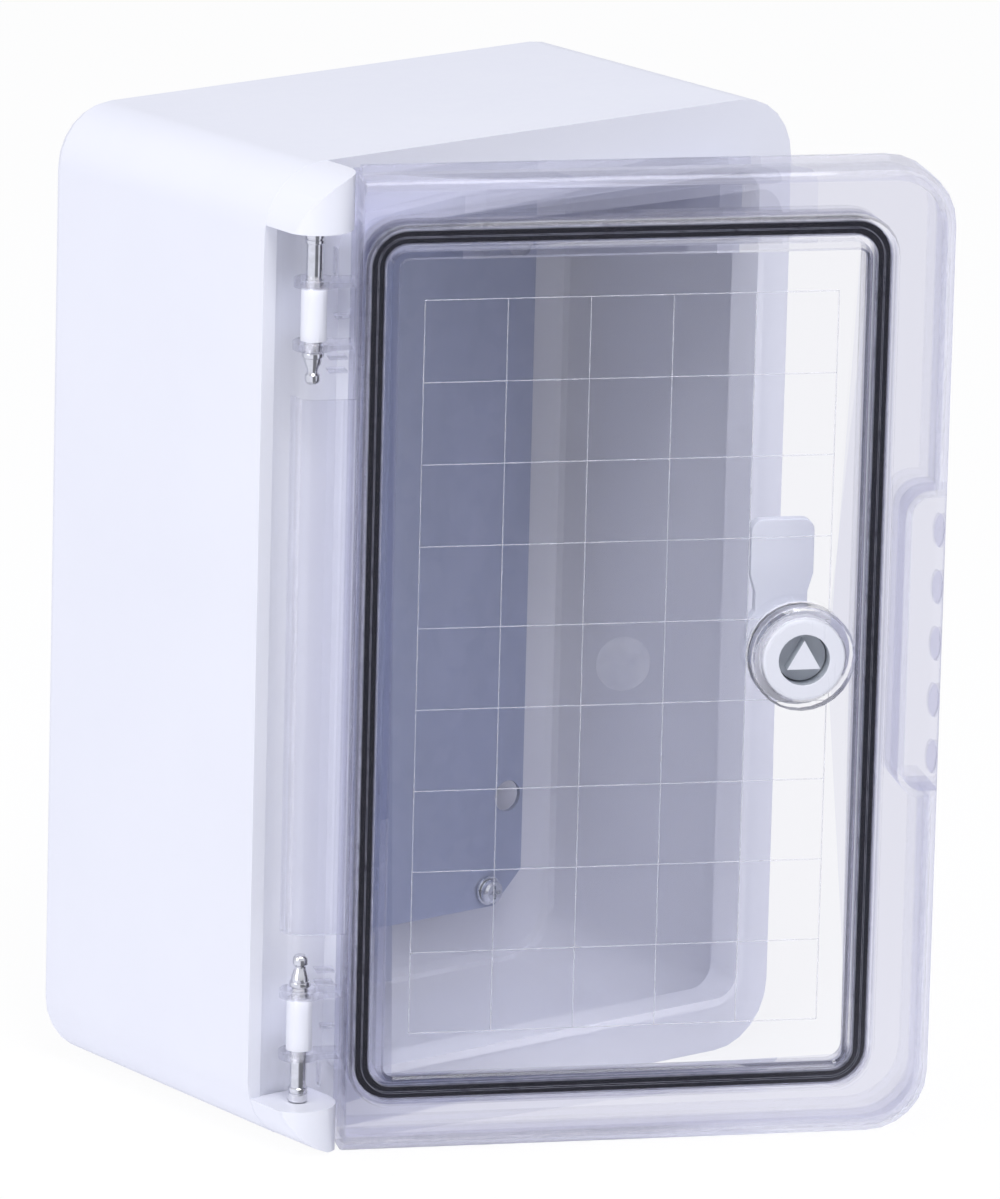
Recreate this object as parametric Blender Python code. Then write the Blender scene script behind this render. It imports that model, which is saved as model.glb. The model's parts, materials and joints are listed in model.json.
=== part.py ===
"""Hinged wall enclosure for small DC combiner gear: a white moulded body, a clear door that
swings on two steel pins, a quarter-turn lock with its cam, and a steel mounting plate.

Frame: metres, +Z up, +X to the right seen from the front, +Y towards the wall. The origin is
the centre of the flat back face. Every piece is drawn with the door closed; the door's pieces
hang on an empty on the hinge axis, which holds the door part open at rest.
"""
import math

import bmesh
import bpy
from mathutils import Matrix, Vector

# Body
WIDTH = 0.200
HEIGHT = 0.300
BODY_DEPTH = 0.107
WALL = 0.003
FLANGE = 0.0035
DRAFT = 0.0012            # how far each side leans in over the depth
CORNER_RADIUS = 0.0200
BACK_ROUNDING = 0.003
RIM_HEIGHT = 0.009        # rim round the opening, which presses into the seal
RIM_WALL = 0.0025
UPPER_SHOULDER = 0.0170    # height of the solid corner above the hinge line
LOWER_SHOULDER = 0.0145    # and of the one below it
SHOULDER_STEP = 0.0001    # they stand in from the body's outline by this
NOSE_RADIUS = 0.0115      # their round front, centred on the hinge axis
GROOVE_RADIUS = 0.0119    # hollow in the flange behind the hinge line

# Hinge
HINGE_FORWARD = 0.0097    # axis in front of the flange
DOOR_REST_ANGLE = math.radians(26.3)
KNUCKLE_RADIUS = 0.0039
KNUCKLE_WEB = 0.0044
KNUCKLE_WEB_ANGLE = math.radians(55)  # the web leans from the axis towards the rim
KNUCKLE_LENGTH = 0.0160
UPPER_KNUCKLE_DROP = 0.0260   # middle of each knuckle, from its shoulder's face
LOWER_KNUCKLE_RISE = 0.0245
PIN_RADIUS = 0.0025
PIN_HEAD_RADIUS = 0.0034
PIN_HEAD_LENGTH = 0.0045
PIN_TIP_REACH = 0.0213    # pin's tip, past the middle of its knuckle
PIN_CONE_START = 0.0078   # the snap end, measured from the tip
PIN_WAIST_START = 0.0046
PIN_WAIST_END = 0.0030
PIN_BARB_END = 0.0024
PIN_WAIST_RADIUS = 0.0017
PIN_BARB_RADIUS = 0.0022
PIN_HEAD_ROUNDING = 0.0004
EAR_RADIUS = 0.0062
EAR_THICKNESS = 0.0024
EAR_ARM = 0.0062          # width of the arm that carries an ear
HOOD_RADIUS = 0.0064      # door's round hood over the middle of the hinge line
HOOD_WALL = 0.0016
HOOD_TURN = math.radians(100)
HOOD_END_INSET = 0.0680   # from the body's top and bottom

# Door
DOOR_FRONT = 0.0195       # border's front, in front of the flange
PANE_FRONT = 0.0220       # raised frame's front
PANE_RECESS = 0.0006
DOOR_WALL = 0.0025
DOOR_CORNER_RADIUS = 0.0190
DOOR_END_GAP = 0.0005     # door is this much shorter than the body at each end
DOOR_OVERHANG = 0.0040    # and passes its free side by this much
DOOR_ROUNDING = 0.0045    # front edge of the three free sides
HINGE_EDGE_GAP = 0.0004   # between the shoulders and the door
HINGE_EDGE_WALL = 0.0014
HINGE_EDGE_RELIEF = 0.004
HINGE_EDGE_SOFTENING = 0.0006
FRAME_BORDER = 0.0036     # raised frame outside the seal line
FRAME_INNER = 0.0052      # and inside it
FRAME_SLOPE = 0.0008      # width of its sloping sides
LOCK_SIDE_BORDER = 0.0182 # body's side to the seal line
END_BORDER = 0.01875
SEAL_CORNER_RADIUS = 0.009

# Seal and its channel
SEAL_WIDTH = 0.0042
SEAL_DEPTH = 0.0080
CHANNEL_WALL = 0.0016
CHANNEL_TIP_GAP = 0.001   # channel walls end this far in front of the rim
CHANNEL_EDGE_GAP = 0.0002

# Finger grip in the door's free edge
GRIP_LENGTH = 0.091
GRIP_DEPTH = 0.0110
GRIP_WALL = 0.0020
GRIP_CENTRE_Z = 0.0025
GRIP_CORNER = 0.0060

# Lock
LOCK_INSET = 0.0415       # lock axis from the body's free side
LOCK_Z = 0.0020
COLLAR_GAP = 0.00035      # between the collar's well and the lock's disc
COLLAR_WALL = 0.0029
COLLAR_HEIGHT = 0.0071
COLLAR_ROUNDING = 0.0008
LOCK_DISC_LIP = 0.00405   # disc's reach beyond the shank
LOCK_DISC_FRONT = 0.0078  # in front of the pane
LOCK_DISC_ROUNDING = 0.0012
SHANK_RADIUS = 0.0087
SHANK_WALL = 0.0009
ROTOR_SINK = 0.0046
ROTOR_STANDOFF = 0.0040   # round core, behind the nut's seat
O_RING_SETBACK = 0.0030   # its groove, behind the rotor's face
STUD_SIDE = 0.0102
STUD_HEIGHT = 0.0042
SHANK_STANDOFF = 0.0030   # shank, behind the nut's seat
SEAL_RING_WIDTH = 0.0021
SEAL_RING_THICKNESS = 0.0014
NUT_WALL = 0.0038         # hexagon's corners beyond the shank
NUT_THICKNESS = 0.0042
NUT_FLANGE_LIP = 0.0030
NUT_FLANGE = 0.0014
O_RING_THICKNESS = 0.0012
SPINDLE_SIDE = 0.0080     # square end of the rotor that carries the cam
ROTOR_NECK_RADIUS = 0.0060
CAM_WIDTH = 0.0193
CAM_WAIST = 0.0160
CAM_LENGTH = 0.0350
CAM_NECK_HEIGHT = 0.0126
CAM_SHOULDER_HEIGHT = 0.0182
CAM_TIP_CORNER = 0.0035
CAM_THICKNESS = 0.0040
CAM_HUB_RADIUS = 0.0105
CAM_GAP = 0.0005          # cam runs this far behind the flange
CAM_WASHER_RADIUS = 0.0070
CAM_SCREW_HEAD_RADIUS = 0.0042
CAM_SCREW_HEAD_HEIGHT = 0.0026
CAM_SCREW_REACH = 0.0070

# Mounting plate and its fasteners
PLATE_SIDE_INSET = 0.0058  # from the seal line, so that the plate passes through the opening
PLATE_END_INSET = 0.00725
PLATE_THICKNESS = 0.0015
PLATE_STANDOFF = 0.0092   # gap between the back wall and the plate
PLATE_CHAMFER = 0.0105
PLATE_SCREW_INSET_X = 0.0131
PLATE_SCREW_INSET_Z = 0.0055
ACCESS_HOLE_RADIUS = 0.005
ACCESS_INSET_X = 0.0060
ACCESS_INSET_Z = 0.0350
BOSS_WALL = 0.0020
SCREW_RADIUS = 0.0019
SCREW_HEAD_RADIUS = 0.0038
SCREW_HEAD_HEIGHT = 0.0024
SCREW_LENGTH = 0.0070
SCREW_TIP_CHAMFER = 0.0004
RECESS_REACH = 0.58       # cross recess, as shares of the screw head's radius and height
RECESS_HALF_WIDTH = 0.14
RECESS_DEPTH = 0.55
HEAD_ROUNDING = 0.30
WASHER_RADIUS = 0.0046
WASHER_THICKNESS = 0.0008
INSERT_WALL = 0.0010
INSERT_LENGTH = 0.0065
WALL_HOLE_RADIUS = 0.00275
PLUG_HEAD_RADIUS = 0.0045
PLUG_HEAD_HEIGHT = 0.0015
PLUG_CHAMFER = 0.0005

GAP = 0.0003              # clearance between neighbouring pieces
OVERLAP = 0.001           # how deep a joined shape reaches into its neighbour
LEAST_CORNER = 0.002      # smallest corner of a moulded outline
CORNER_STEPS = 6
ROUND_STEPS = 28
SMALL_RADIUS = 0.006      # rounder pieces up to this radius have fewer sides
SMALL_ROUND_STEPS = 20

# Places that follow from the sizes above
FRONT = -BODY_DEPTH
HINGE_X = -WIDTH / 2 + NOSE_RADIUS
HINGE_Y = FRONT - HINGE_FORWARD
CHANNEL_HALF = SEAL_WIDTH / 2 + GAP
CHANNEL_OUTER = CHANNEL_HALF + CHANNEL_WALL
DOOR_LEFT = HINGE_X + NOSE_RADIUS + HINGE_EDGE_GAP
DOOR_RIGHT = WIDTH / 2 + DOOR_OVERHANG
DOOR_HALF_HEIGHT = HEIGHT / 2 - DOOR_END_GAP
GRIP_LEFT = DOOR_RIGHT - GRIP_DEPTH
SEAL_LEFT = DOOR_LEFT + HINGE_EDGE_WALL + CHANNEL_EDGE_GAP + CHANNEL_OUTER
SEAL_RIGHT = WIDTH / 2 - LOCK_SIDE_BORDER
SEAL_HALF_HEIGHT = HEIGHT / 2 - END_BORDER
LOCK_X = WIDTH / 2 - LOCK_INSET
LOCK_PLACE = (LOCK_X, 0.0, LOCK_Z)
PANE_Y = FRONT - PANE_FRONT + PANE_RECESS
PANE_BACK_Y = PANE_Y + DOOR_WALL
PLATE_X = (SEAL_LEFT + SEAL_RIGHT) / 2
PLATE_WIDTH = SEAL_RIGHT - SEAL_LEFT - 2 * PLATE_SIDE_INSET
PLATE_HEIGHT = 2 * (SEAL_HALF_HEIGHT - PLATE_END_INSET)
PLATE_Y = -WALL - PLATE_STANDOFF - PLATE_THICKNESS
UPPER_SHOULDER_FACE = HEIGHT / 2 - UPPER_SHOULDER
LOWER_SHOULDER_FACE = LOWER_SHOULDER - HEIGHT / 2
UPPER_KNUCKLE_Z = UPPER_SHOULDER_FACE - UPPER_KNUCKLE_DROP
LOWER_KNUCKLE_Z = LOWER_SHOULDER_FACE + LOWER_KNUCKLE_RISE
HOOD_HALF_LENGTH = HEIGHT / 2 - HOOD_END_INSET
PIN_BORE = PIN_RADIUS + GAP
SCREW_BORE = SCREW_RADIUS + GAP
BOSS_RADIUS = SCREW_BORE + INSERT_WALL + GAP + BOSS_WALL
ROTOR_RADIUS = SHANK_RADIUS - SHANK_WALL - GAP
LOCK_DISC_RADIUS = SHANK_RADIUS + LOCK_DISC_LIP
COLLAR_RADIUS = LOCK_DISC_RADIUS + COLLAR_GAP + COLLAR_WALL
NUT_RADIUS = SHANK_RADIUS + NUT_WALL
NUT_FLANGE_RADIUS = NUT_RADIUS + NUT_FLANGE_LIP


def clear_scene():
    for thing in list(bpy.data.objects):
        bpy.data.objects.remove(thing, do_unlink=True)


def finish(name, colour, roughness, metallic=0.0, alpha=1.0):
    material = bpy.data.materials.new(name)
    material.use_nodes = True
    shader = material.node_tree.nodes["Principled BSDF"]
    shader.inputs["Base Color"].default_value = (*colour, 1.0)
    shader.inputs["Roughness"].default_value = roughness
    shader.inputs["Metallic"].default_value = metallic
    shader.inputs["Alpha"].default_value = alpha
    return material


def new_object(name, mesh_data, material=None):
    """Turns a bmesh into a named object with its faces pointing out."""
    bmesh.ops.recalc_face_normals(mesh_data, faces=mesh_data.faces)
    mesh = bpy.data.meshes.new(name)
    mesh_data.to_mesh(mesh)
    mesh_data.free()
    mesh.shade_smooth()
    mesh.set_sharp_from_angle(angle=math.radians(35))
    piece = bpy.data.objects.new(name, mesh)
    bpy.context.scene.collection.objects.link(piece)
    if material:
        mesh.materials.append(material)
    return piece


def combine(piece, tool, operation):
    """Adds a Boolean to a piece; its tool stays in the scene as a hidden guide."""
    tool.hide_render = True
    tool.display_type = "WIRE"
    tool.parent = piece
    modifier = piece.modifiers.new(tool.name, "BOOLEAN")
    modifier.operation = operation
    modifier.solver = "EXACT"
    modifier.object = tool


def join(piece, tool):
    combine(piece, tool, "UNION")


def cut(piece, tool):
    combine(piece, tool, "DIFFERENCE")


def loft(name, rings, material=None):
    """A closed solid through rings of equal length, with its first and last ring capped."""
    mesh_data = bmesh.new()
    rows = [[mesh_data.verts.new(point) for point in ring] for ring in rings]
    for row, following in zip(rows, rows[1:]):
        for index in range(len(row)):
            after = (index + 1) % len(row)
            mesh_data.faces.new((row[index], row[after], following[after], following[index]))
    mesh_data.faces.new(rows[0])
    mesh_data.faces.new(rows[-1])
    return new_object(name, mesh_data, material)


def rounded_rectangle(left, right, half_height, y, left_radius, right_radius):
    """A ring of points in an XZ plane, with its own radius at the left and right corners."""
    corners = (
        (right, half_height, right_radius, 0.0),
        (left, half_height, left_radius, 90.0),
        (left, -half_height, left_radius, 180.0),
        (right, -half_height, right_radius, 270.0),
    )
    ring = []
    for x, z, radius, start in corners:
        centre_x = x - math.copysign(radius, math.cos(math.radians(start + 45)))
        centre_z = z - math.copysign(radius, math.sin(math.radians(start + 45)))
        for step in range(CORNER_STEPS + 1):
            angle = math.radians(start + 90.0 * step / CORNER_STEPS)
            ring.append(Vector((centre_x + radius * math.cos(angle), y,
                                centre_z + radius * math.sin(angle))))
    return ring


def upright_prism(name, outline, low, high, material=None):
    """Extrudes an outline of (x, y) points between two heights."""
    rings = [[Vector((x, y, z)) for x, y in outline] for z in (low, high)]
    return loft(name, rings, material)


def facing_prism(name, outline, front, back, material=None):
    """Extrudes an outline of (x, z) points between two places along Y."""
    rings = [[Vector((x, y, z)) for x, z in outline] for y in (front, back)]
    return loft(name, rings, material)


def block(name, low, high, material=None):
    outline = ((low[0], low[1]), (high[0], low[1]), (high[0], high[1]), (low[0], high[1]))
    return upright_prism(name, outline, low[2], high[2], material)


def arc(centre_x, centre_y, radius, start, end, steps):
    """Points round a circle; angles in radians, from +X towards the second axis."""
    return [(centre_x + radius * math.cos(start + (end - start) * step / steps),
             centre_y + radius * math.sin(start + (end - start) * step / steps))
            for step in range(steps + 1)]


def circle(centre_x, centre_y, radius, steps=ROUND_STEPS):
    return arc(centre_x, centre_y, radius, 0.0, 2 * math.pi * (steps - 1) / steps, steps - 1)


def turned_shape(name, profile, centre, material=None, along_y=True):
    """A solid turned round an axis through centre; profile is (radius, distance) points."""
    largest = max(radius for radius, distance in profile)
    steps = ROUND_STEPS if largest > SMALL_RADIUS else SMALL_ROUND_STEPS
    rings = []
    for radius, distance in profile:
        points = circle(0.0, 0.0, radius, steps)
        if along_y:
            rings.append([Vector((centre[0] + a, distance, centre[2] + b)) for a, b in points])
        else:
            rings.append([Vector((centre[0] + a, centre[1] + b, distance)) for a, b in points])
    return loft(name, rings, material)


def loop_solid(name, rows_of_points, material=None):
    """A closed solid from rings joined one to the next and the last to the first."""
    mesh_data = bmesh.new()
    rows = [[mesh_data.verts.new(point) for point in ring] for ring in rows_of_points]
    for row, following in zip(rows, rows[1:] + rows[:1]):
        for index in range(len(row)):
            after = (index + 1) % len(row)
            mesh_data.faces.new((row[index], row[after], following[after], following[index]))
    return new_object(name, mesh_data, material)


def ring_shape(name, inner, outer, front, back, centre, material=None):
    """A flat ring about an axis along Y."""
    section = ((inner, front), (outer, front), (outer, back), (inner, back))
    rings = [[Vector((centre[0] + a, y, centre[2] + b))
              for a, b in circle(0.0, 0.0, radius, SMALL_ROUND_STEPS)] for radius, y in section]
    return loop_solid(name, rings, material)


# ---------------------------------------------------------------- body

def body_ring(y, inset):
    """The body's outline at a depth, narrower towards the back, moved in by inset."""
    lean = DRAFT * (y - FRONT) / BODY_DEPTH
    half_width = WIDTH / 2 - lean - inset
    radius = max(CORNER_RADIUS - lean - inset, LEAST_CORNER)
    return rounded_rectangle(-half_width, half_width, HEIGHT / 2 - lean - inset, y, radius, radius)


def seal_ring(y, offset):
    """The seal's centre line at a depth, moved out by offset."""
    radius = SEAL_CORNER_RADIUS + offset
    return rounded_rectangle(SEAL_LEFT - offset, SEAL_RIGHT + offset, SEAL_HALF_HEIGHT + offset,
                             y, radius, radius)


def shell_rings():
    rounding = BACK_ROUNDING
    rim_top = FRONT - RIM_HEIGHT
    half_rim = RIM_WALL / 2
    return [
        body_ring(-WALL, WALL + rounding),
        body_ring(-WALL - rounding * 0.3, WALL + rounding * 0.3),
        body_ring(-WALL - rounding, WALL),
        body_ring(FRONT + FLANGE, WALL),
        seal_ring(FRONT + FLANGE, -half_rim),
        seal_ring(rim_top, -half_rim),
        seal_ring(rim_top, half_rim),
        seal_ring(FRONT, half_rim),
        body_ring(FRONT, 0.0),
        body_ring(-rounding, 0.0),
        body_ring(-rounding * 0.3, rounding * 0.3),
        body_ring(0.0, rounding),
    ]


def shoulder(name, low, high):
    """A solid corner with a round nose about the hinge axis, trimmed to the body's outline."""
    back = FRONT + OVERLAP
    outline = [(HINGE_X - NOSE_RADIUS, back)]
    outline += arc(HINGE_X, HINGE_Y, NOSE_RADIUS, math.pi, 2 * math.pi, 12)
    outline += [(HINGE_X + NOSE_RADIUS, back)]
    nose = upright_prism(name, outline, low, high)
    front = FRONT - 2 * HINGE_FORWARD - NOSE_RADIUS
    outline_tool = loft(name + "_outline", [
        [Vector((point.x, y, point.z)) for point in body_ring(FRONT, SHOULDER_STEP)]
        for y in (front, back + OVERLAP)])
    combine(nose, outline_tool, "INTERSECT")
    return nose


def knuckle(name, middle):
    """A barrel on the hinge axis with a web that leans back to the flange."""
    half_web = KNUCKLE_WEB / 2
    back = FRONT + FLANGE - OVERLAP / 2
    along = Vector((math.cos(KNUCKLE_WEB_ANGLE), math.sin(KNUCKLE_WEB_ANGLE)))
    across = Vector((-along.y, along.x))
    opening = math.asin(half_web / KNUCKLE_RADIUS)
    corners = []
    for side in (1, -1):
        start = Vector((HINGE_X, HINGE_Y)) + across * half_web * side
        corners.append(start + along * (back - start.y) / along.y)
    outline = [corners[0]]
    outline += arc(HINGE_X, HINGE_Y, KNUCKLE_RADIUS, KNUCKLE_WEB_ANGLE + opening,
                   KNUCKLE_WEB_ANGLE + 2 * math.pi - opening, 14)
    outline += [corners[1]]
    half = KNUCKLE_LENGTH / 2
    return upright_prism(name, outline, middle - half, middle + half)


def plate_screw_places():
    return [(PLATE_X + side * (PLATE_WIDTH / 2 - PLATE_SCREW_INSET_X), PLATE_Y,
             end * (PLATE_HEIGHT / 2 - PLATE_SCREW_INSET_Z))
            for end in (1, -1) for side in (-1, 1)]


def wall_hole_places():
    return [(PLATE_X + side * (PLATE_WIDTH / 2 - ACCESS_INSET_X), 0.0,
             end * (PLATE_HEIGHT / 2 - ACCESS_INSET_Z))
            for end in (1, -1) for side in (-1, 1)]


def make_body(material):
    shell = loft("body_shell", shell_rings(), material)
    cut(shell, upright_prism("hinge_groove", circle(HINGE_X, HINGE_Y, GROOVE_RADIUS, 40),
                             LOWER_SHOULDER_FACE - OVERLAP, UPPER_SHOULDER_FACE + OVERLAP))
    for name, middle in (("upper", UPPER_KNUCKLE_Z), ("lower", LOWER_KNUCKLE_Z)):
        join(shell, knuckle(name + "_knuckle", middle))
        reach = KNUCKLE_LENGTH
        cut(shell, upright_prism(name + "_pin_bore", circle(HINGE_X, HINGE_Y, PIN_BORE),
                                 middle - reach, middle + reach))
    boss_front = PLATE_Y + PLATE_THICKNESS + GAP
    for number, place in enumerate(plate_screw_places(), 1):
        join(shell, turned_shape(f"plate_boss_{number}",
                                 [(BOSS_RADIUS, boss_front), (BOSS_RADIUS, -WALL / 2)], place))
        bore = BOSS_RADIUS - BOSS_WALL
        bore_end = boss_front + INSERT_LENGTH + 2 * GAP
        cut(shell, turned_shape(f"insert_bore_{number}",
                                [(bore, boss_front - OVERLAP), (bore, bore_end)], place))
    for number, place in enumerate(wall_hole_places(), 1):
        cut(shell, turned_shape(f"wall_hole_{number}", [
            (WALL_HOLE_RADIUS, -WALL - OVERLAP), (WALL_HOLE_RADIUS, OVERLAP)], place))
    join(shell, shoulder("upper_shoulder", UPPER_SHOULDER_FACE, HEIGHT / 2 + OVERLAP))
    join(shell, shoulder("lower_shoulder", -HEIGHT / 2 - OVERLAP, LOWER_SHOULDER_FACE))
    return shell


# ---------------------------------------------------------------- hinge pins

def make_pin(name, middle, shoulder_face, material):
    """A pin with its head against a shoulder and a waisted snap tip at its inner end."""
    direction = math.copysign(1, middle)
    head = shoulder_face - direction * GAP
    tip = middle - direction * PIN_TIP_REACH
    profile = [
        (PIN_HEAD_RADIUS - PIN_HEAD_ROUNDING, head),
        (PIN_HEAD_RADIUS, head - direction * PIN_HEAD_ROUNDING),
        (PIN_HEAD_RADIUS, head - direction * PIN_HEAD_LENGTH),
        (PIN_RADIUS, head - direction * PIN_HEAD_LENGTH),
        (PIN_RADIUS, tip + direction * PIN_CONE_START),
        (PIN_WAIST_RADIUS, tip + direction * PIN_WAIST_START),
        (PIN_WAIST_RADIUS, tip + direction * PIN_WAIST_END),
        (PIN_BARB_RADIUS, tip + direction * PIN_BARB_END),
        (PIN_WAIST_RADIUS, tip),
    ]
    return turned_shape(name, profile, (HINGE_X, HINGE_Y, 0.0), material, along_y=False)


# ---------------------------------------------------------------- door

def door_ring(y, inset, hinge_inset):
    radius = max(DOOR_CORNER_RADIUS - inset, LEAST_CORNER)
    return rounded_rectangle(DOOR_LEFT + hinge_inset, DOOR_RIGHT - inset,
                             DOOR_HALF_HEIGHT - inset, y, HINGE_EDGE_SOFTENING, radius)


def door_rings():
    border_y = FRONT - DOOR_FRONT
    frame_y = FRONT - PANE_FRONT
    border_back = border_y + DOOR_WALL
    edge_y = FRONT - GAP
    channel_tip = FRONT - RIM_HEIGHT - CHANNEL_TIP_GAP
    channel_floor = FRONT - RIM_HEIGHT - SEAL_DEPTH - 2 * GAP
    rounding = DOOR_ROUNDING
    return [
        seal_ring(PANE_BACK_Y, -CHANNEL_OUTER),
        seal_ring(channel_tip, -CHANNEL_OUTER),
        seal_ring(channel_tip, -CHANNEL_HALF),
        seal_ring(channel_floor, -CHANNEL_HALF),
        seal_ring(channel_floor, CHANNEL_HALF),
        seal_ring(channel_tip, CHANNEL_HALF),
        seal_ring(channel_tip, CHANNEL_OUTER),
        seal_ring(border_back, CHANNEL_OUTER),
        door_ring(border_back, rounding, HINGE_EDGE_WALL),
        door_ring(border_y + rounding, DOOR_WALL, HINGE_EDGE_WALL),
        door_ring(edge_y, DOOR_WALL, HINGE_EDGE_WALL),
        door_ring(edge_y, 0.0, 0.0),
        *(door_ring(border_y + rounding * (1 - math.sin(math.radians(angle))),
                    rounding * (1 - math.cos(math.radians(angle))),
                    HINGE_EDGE_SOFTENING * angle / 90)
          for angle in (0, 30, 60, 90)),
        seal_ring(border_y, FRAME_BORDER + FRAME_SLOPE),
        seal_ring(frame_y, FRAME_BORDER),
        seal_ring(frame_y, -FRAME_INNER),
        seal_ring(frame_y + PANE_RECESS, -FRAME_INNER - FRAME_SLOPE),
    ]


def hood_outline():
    """The hood's section: a flat strip from the door's edge, then an arc round the axis."""
    root = DOOR_LEFT + HINGE_EDGE_WALL / 2
    start = 1.5 * math.pi
    inner_radius = HOOD_RADIUS - HOOD_WALL
    outline = [(root, HINGE_Y - HOOD_RADIUS)]
    outline += arc(HINGE_X, HINGE_Y, HOOD_RADIUS, start, start - HOOD_TURN, 12)
    outline += arc(HINGE_X, HINGE_Y, inner_radius, start - HOOD_TURN, start, 12)
    outline += [(root, HINGE_Y - inner_radius)]
    return outline


def ear_outline():
    half = EAR_ARM / 2
    start = math.asin(half / EAR_RADIUS)
    root = DOOR_LEFT + HINGE_EDGE_WALL / 2
    outline = [(root, HINGE_Y + half)]
    outline += arc(HINGE_X, HINGE_Y, EAR_RADIUS, start, 2 * math.pi - start, 16)
    outline += [(root, HINGE_Y - half)]
    return outline


def make_ears(door):
    """Two clear ears on each side of a knuckle, on arms from the door's hinge edge."""
    half = KNUCKLE_LENGTH / 2 + GAP
    for name, middle, side in (("upper", UPPER_KNUCKLE_Z, 1), ("lower", LOWER_KNUCKLE_Z, -1)):
        for place, way in (("outer", side), ("inner", -side)):
            near = middle + way * half
            far = near + way * EAR_THICKNESS
            join(door, upright_prism(f"{name}_{place}_ear", ear_outline(),
                                     min(near, far), max(near, far)))
        reach = KNUCKLE_LENGTH
        cut(door, upright_prism(name + "_ear_bore", circle(HINGE_X, HINGE_Y, PIN_BORE),
                                middle - reach, middle + reach))


def grip_ring(y, left, right, half_height):
    """A pocket outline with round inner corners, at the grip's height."""
    radius = GRIP_CORNER + GRIP_LEFT - left
    ring = rounded_rectangle(left, right, half_height, y, radius, OVERLAP / 4)
    return [point + Vector((0.0, 0.0, GRIP_CENTRE_Z)) for point in ring]


def make_grip(door):
    """A finger pocket in the free edge, closed in front by the door's border."""
    back = FRONT - GAP
    front = FRONT - DOOR_FRONT + DOOR_WALL
    half = GRIP_LENGTH / 2
    outer = (GRIP_LEFT - GRIP_WALL, DOOR_RIGHT - DOOR_WALL / 2, half + GRIP_WALL)
    pocket = (GRIP_LEFT, DOOR_RIGHT + 2 * OVERLAP, half)
    join(door, loft("grip_walls", [grip_ring(y, *outer) for y in (front - OVERLAP, back)]))
    cut(door, loft("grip_pocket", [grip_ring(y, *pocket) for y in (front, back + 2 * OVERLAP)]))


def make_door(material):
    door = loft("door_panel", door_rings(), material)
    cut(door, block("hinge_edge_relief",
                    (DOOR_LEFT - OVERLAP, FRONT - HINGE_EDGE_RELIEF, -HEIGHT / 2),
                    (DOOR_LEFT + HINGE_EDGE_WALL + CHANNEL_WALL, FRONT + OVERLAP, HEIGHT / 2)))
    join(door, upright_prism("hinge_hood", hood_outline(), -HOOD_HALF_LENGTH, HOOD_HALF_LENGTH))
    make_ears(door)
    make_grip(door)
    collar_front = PANE_Y - COLLAR_HEIGHT
    soft = COLLAR_ROUNDING
    join(door, turned_shape("lock_collar", [
        (COLLAR_RADIUS - soft, collar_front), (COLLAR_RADIUS, collar_front + soft),
        (COLLAR_RADIUS, PANE_Y + DOOR_WALL / 2)], LOCK_PLACE))
    well = COLLAR_RADIUS - COLLAR_WALL
    cut(door, turned_shape("collar_well", [(well, collar_front - OVERLAP), (well, PANE_Y)],
                           LOCK_PLACE))
    bore = SHANK_RADIUS + GAP
    cut(door, turned_shape("lock_bore", [(bore, PANE_Y - OVERLAP),
                                         (bore, PANE_BACK_Y + OVERLAP)], LOCK_PLACE))
    return door


def make_gasket(material):
    """A rubber loop in the door's channel, which meets the rim when the door is closed."""
    back = FRONT - RIM_HEIGHT - GAP
    front = back - SEAL_DEPTH
    half = SEAL_WIDTH / 2
    rings = [
        seal_ring(front, -half), seal_ring(front, half),
        seal_ring(back - half / 2, half), seal_ring(back, half / 2),
        seal_ring(back, -half / 2), seal_ring(back - half / 2, -half),
    ]
    return loop_solid("door_gasket", rings, material)


# ---------------------------------------------------------------- lock

def make_lock_body(material):
    """A disc on the front of the pane, with a hollow shank through it."""
    front = PANE_Y - LOCK_DISC_FRONT
    disc_back = PANE_Y - 2 * GAP - SEAL_RING_THICKNESS
    shank_back = PANE_BACK_Y + NUT_THICKNESS + SHANK_STANDOFF
    soft = LOCK_DISC_ROUNDING
    body = turned_shape("lock_body", [
        (LOCK_DISC_RADIUS - soft, front),
        (LOCK_DISC_RADIUS - soft * 0.25, front + soft * 0.3),
        (LOCK_DISC_RADIUS, front + soft),
        (LOCK_DISC_RADIUS, disc_back),
        (SHANK_RADIUS, disc_back),
        (SHANK_RADIUS, shank_back),
    ], LOCK_PLACE, material)
    bore = ROTOR_RADIUS + GAP
    cut(body, turned_shape("rotor_bore", [(bore, front - OVERLAP), (bore, shank_back + OVERLAP)],
                           LOCK_PLACE))
    return body


def cam_front_y():
    return FRONT + FLANGE + CAM_GAP


def square_at_lock(side):
    half = side / 2
    return [(LOCK_X + x * half, LOCK_Z + z * half)
            for x, z in ((-1, -1), (1, -1), (1, 1), (-1, 1))]


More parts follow.
